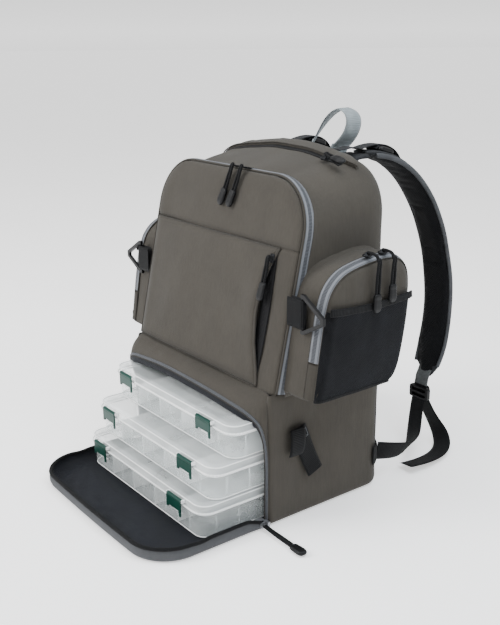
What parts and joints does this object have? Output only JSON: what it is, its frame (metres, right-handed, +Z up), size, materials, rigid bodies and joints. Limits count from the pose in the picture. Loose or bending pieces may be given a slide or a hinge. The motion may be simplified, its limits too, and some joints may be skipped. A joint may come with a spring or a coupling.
{
  "type": "fishing tackle backpack",
  "caption": "Fishing tackle backpack with a zipped main body, side pockets, padded shoulder straps and clear utility boxes sliding from an open lower compartment.",
  "frame": {"origin": "centre of the flat bottom of the bag, on the floor", "axes": "+Z up, front and open flap toward -Y, +X to the right seen from the front"},
  "size_m": [0.4388, 0.5205, 0.475],
  "materials": {
    "taupe_fabric": "woven polyester, matte",
    "black_fabric": "woven nylon, matte",
    "stiffener": "plain sheet",
    "silver_tape": "coil zip tape, light sheen",
    "black_zip": "coil zip tape",
    "black_mesh": "fine mesh",
    "black_webbing": "ribbed webbing",
    "grey_webbing": "ribbed webbing",
    "slider_metal": "cast zinc, satin paint",
    "black_pull": "cord and moulded grip",
    "black_plastic": "moulded acetal",
    "clear_tray": "milky polypropylene",
    "green_latch": "moulded polypropylene"
  },
  "bodies": {
    "bag": {"lower_shell": "taupe_fabric", "stiffener_boards": "stiffener", "divider_pad": "black_fabric", "upper_shell": "taupe_fabric", "front_panel": "taupe_fabric", "slash_pocket": "taupe_fabric", "front_zip": "silver_tape", "black_zips": "black_zip", "storm_flap": "taupe_fabric", "side_pocket_left": "taupe_fabric", "side_pocket_right": "taupe_fabric", "side_zips": "silver_tape", "mesh_left": "black_mesh", "mesh_right": "black_mesh", "back_pad": "black_fabric", "mouth_zip": "silver_tape", "mouth_lining": "black_fabric", "ring_tabs": "black_webbing", "rod_straps": "black_webbing", "mouth_slider": "slider_metal", "flap_apron": "black_fabric"},
    "flap_end": {"flap_fold": "black_fabric"},
    "tray_1": {"tray_1_base": "clear_tray", "tray_1_lid": "clear_tray", "tray_1_dividers": "clear_tray"},
    "latch_1_left": {"latch_1_left": "green_latch"},
    "latch_1_right": {"latch_1_right": "green_latch"},
    "tray_2": {"tray_2_base": "clear_tray", "tray_2_lid": "clear_tray", "tray_2_dividers": "clear_tray"},
    "latch_2_left": {"latch_2_left": "green_latch"},
    "latch_2_right": {"latch_2_right": "green_latch"},
    "tray_3": {"tray_3_base": "clear_tray", "tray_3_lid": "clear_tray", "tray_3_dividers": "clear_tray"},
    "latch_3_left": {"latch_3_left": "green_latch"},
    "latch_3_right": {"latch_3_right": "green_latch"},
    "front_slider_left": {"front_slider_left": "slider_metal"},
    "front_pull_left": {"front_pull_left": "black_pull"},
    "ring_left": {"ring_left": "black_plastic"},
    "strap_left": {"strap_pad_left": "black_fabric", "strap_web_left": "black_webbing", "ladder_lock_left": "black_plastic", "lifter_left": "black_webbing"},
    "side_slider_left_front": {"side_slider_left_front": "black_pull"},
    "side_slider_left_rear": {"side_slider_left_rear": "black_pull"},
    "front_slider_right": {"front_slider_right": "slider_metal"},
    "front_pull_right": {"front_pull_right": "black_pull"},
    "ring_right": {"ring_right": "black_plastic"},
    "strap_right": {"strap_pad_right": "black_fabric", "strap_web_right": "black_webbing", "ladder_lock_right": "black_plastic", "lifter_right": "black_webbing"},
    "side_slider_right_front": {"side_slider_right_front": "black_pull"},
    "side_slider_right_rear": {"side_slider_right_rear": "black_pull"},
    "slash_slider": {"slash_slider": "black_pull"},
    "top_slider": {"top_slider": "black_pull"},
    "mouth_pull": {"mouth_pull": "black_pull"},
    "grab_handle": {"grab_handle": "grey_webbing"}
  },
  "joints": [
    {"name": "flap_fold_up", "type": "hinge", "parent": "bag", "child": "flap_end", "pos_m": [0, -0.1922, 0.0042], "axis": [1, 0, 0], "range_deg": [-90, 0]},
    {"name": "tray_1_slide", "type": "slide", "parent": "bag", "child": "tray_1", "axis": [0, -1, 0], "range_m": [-0.088, 0.036]},
    {"name": "tray_2_slide", "type": "slide", "parent": "bag", "child": "tray_2", "axis": [0, -1, 0], "range_m": [-0.072, 0.098]},
    {"name": "tray_3_slide", "type": "slide", "parent": "bag", "child": "tray_3", "axis": [0, -1, 0], "range_m": [-0.044, 0.126]},
    {"name": "latch_1_left_open", "type": "hinge", "parent": "tray_1", "child": "latch_1_left", "pos_m": [-0.096, -0.1865, 0.0442], "axis": [1, 0, 0], "range_deg": [-85, 0]},
    {"name": "latch_1_right_open", "type": "hinge", "parent": "tray_1", "child": "latch_1_right", "pos_m": [0.085, -0.1865, 0.0442], "axis": [1, 0, 0], "range_deg": [-85, 0]},
    {"name": "latch_2_left_open", "type": "hinge", "parent": "tray_2", "child": "latch_2_left", "pos_m": [-0.096, -0.1705, 0.0882], "axis": [1, 0, 0], "range_deg": [-85, 0]},
    {"name": "latch_2_right_open", "type": "hinge", "parent": "tray_2", "child": "latch_2_right", "pos_m": [0.085, -0.1705, 0.0882], "axis": [1, 0, 0], "range_deg": [-85, 0]},
    {"name": "latch_3_left_open", "type": "hinge", "parent": "tray_3", "child": "latch_3_left", "pos_m": [-0.096, -0.1425, 0.1322], "axis": [1, 0, 0], "range_deg": [-85, 0]},
    {"name": "latch_3_right_open", "type": "hinge", "parent": "tray_3", "child": "latch_3_right", "pos_m": [0.085, -0.1425, 0.1322], "axis": [1, 0, 0], "range_deg": [-85, 0]},
    {"name": "front_slider_left_run", "type": "slide", "parent": "bag", "child": "front_slider_left", "axis": [1, 0, 0], "range_m": [-0.07, 0]},
    {"name": "front_pull_left_lift", "type": "hinge", "parent": "front_slider_left", "child": "front_pull_left", "pos_m": [0.012, -0.04051, 0.41352], "axis": [1, 0, 0], "range_deg": [-150, 0]},
    {"name": "front_slider_right_run", "type": "slide", "parent": "bag", "child": "front_slider_right", "axis": [1, 0, 0], "range_m": [0, 0.045]},
    {"name": "front_pull_right_lift", "type": "hinge", "parent": "front_slider_right", "child": "front_pull_right", "pos_m": [0.03, -0.04051, 0.41352], "axis": [1, 0, 0], "range_deg": [-150, 0]},
    {"name": "slash_slider_run", "type": "slide", "parent": "bag", "child": "slash_slider", "axis": [0, 0.2147, 0.9767], "range_m": [-0.09, 0.006]},
    {"name": "top_slider_run", "type": "slide", "parent": "bag", "child": "top_slider", "axis": [1, 0, 0], "range_m": [-0.17, 0]},
    {"name": "side_slider_left_front_run", "type": "slide", "parent": "bag", "child": "side_slider_left_front", "axis": [0, 1, 0], "range_m": [-0.032, 0.008]},
    {"name": "side_slider_left_rear_run", "type": "slide", "parent": "bag", "child": "side_slider_left_rear", "axis": [0, 1, 0], "range_m": [-0.01, 0]},
    {"name": "side_slider_right_front_run", "type": "slide", "parent": "bag", "child": "side_slider_right_front", "axis": [0, 1, 0], "range_m": [-0.032, 0.008]},
    {"name": "side_slider_right_rear_run", "type": "slide", "parent": "bag", "child": "side_slider_right_rear", "axis": [0, 1, 0], "range_m": [-0.01, 0]},
    {"name": "mouth_pull_lift", "type": "hinge", "parent": "bag", "child": "mouth_pull", "pos_m": [0.153, -0.104, 0.0055], "axis": [0, -1, 0], "range_deg": [0, 90]},
    {"name": "grab_handle_fold", "type": "hinge", "parent": "bag", "child": "grab_handle", "pos_m": [0, 0.117, 0.426], "axis": [1, 0, 0], "range_deg": [-20, 50]},
    {"name": "ring_left_swing", "type": "hinge", "parent": "bag", "child": "ring_left", "pos_m": [-0.174, -0.066, 0.268], "axis": [0, 0, 1], "range_deg": [0, 90]},
    {"name": "ring_right_swing", "type": "hinge", "parent": "bag", "child": "ring_right", "pos_m": [0.174, -0.066, 0.268], "axis": [0, 0, 1], "range_deg": [-90, 0]},
    {"name": "strap_right_swing", "type": "hinge", "parent": "bag", "child": "strap_right", "pos_m": [0.062, 0.116, 0.417], "axis": [-0.2087, 0.0652, 0.9758], "range_deg": [-35, 5]},
    {"name": "strap_left_swing", "type": "hinge", "parent": "bag", "child": "strap_left", "pos_m": [-0.062, 0.116, 0.417], "axis": [0.2087, 0.0652, 0.9758], "range_deg": [-5, 35]}
  ]
}
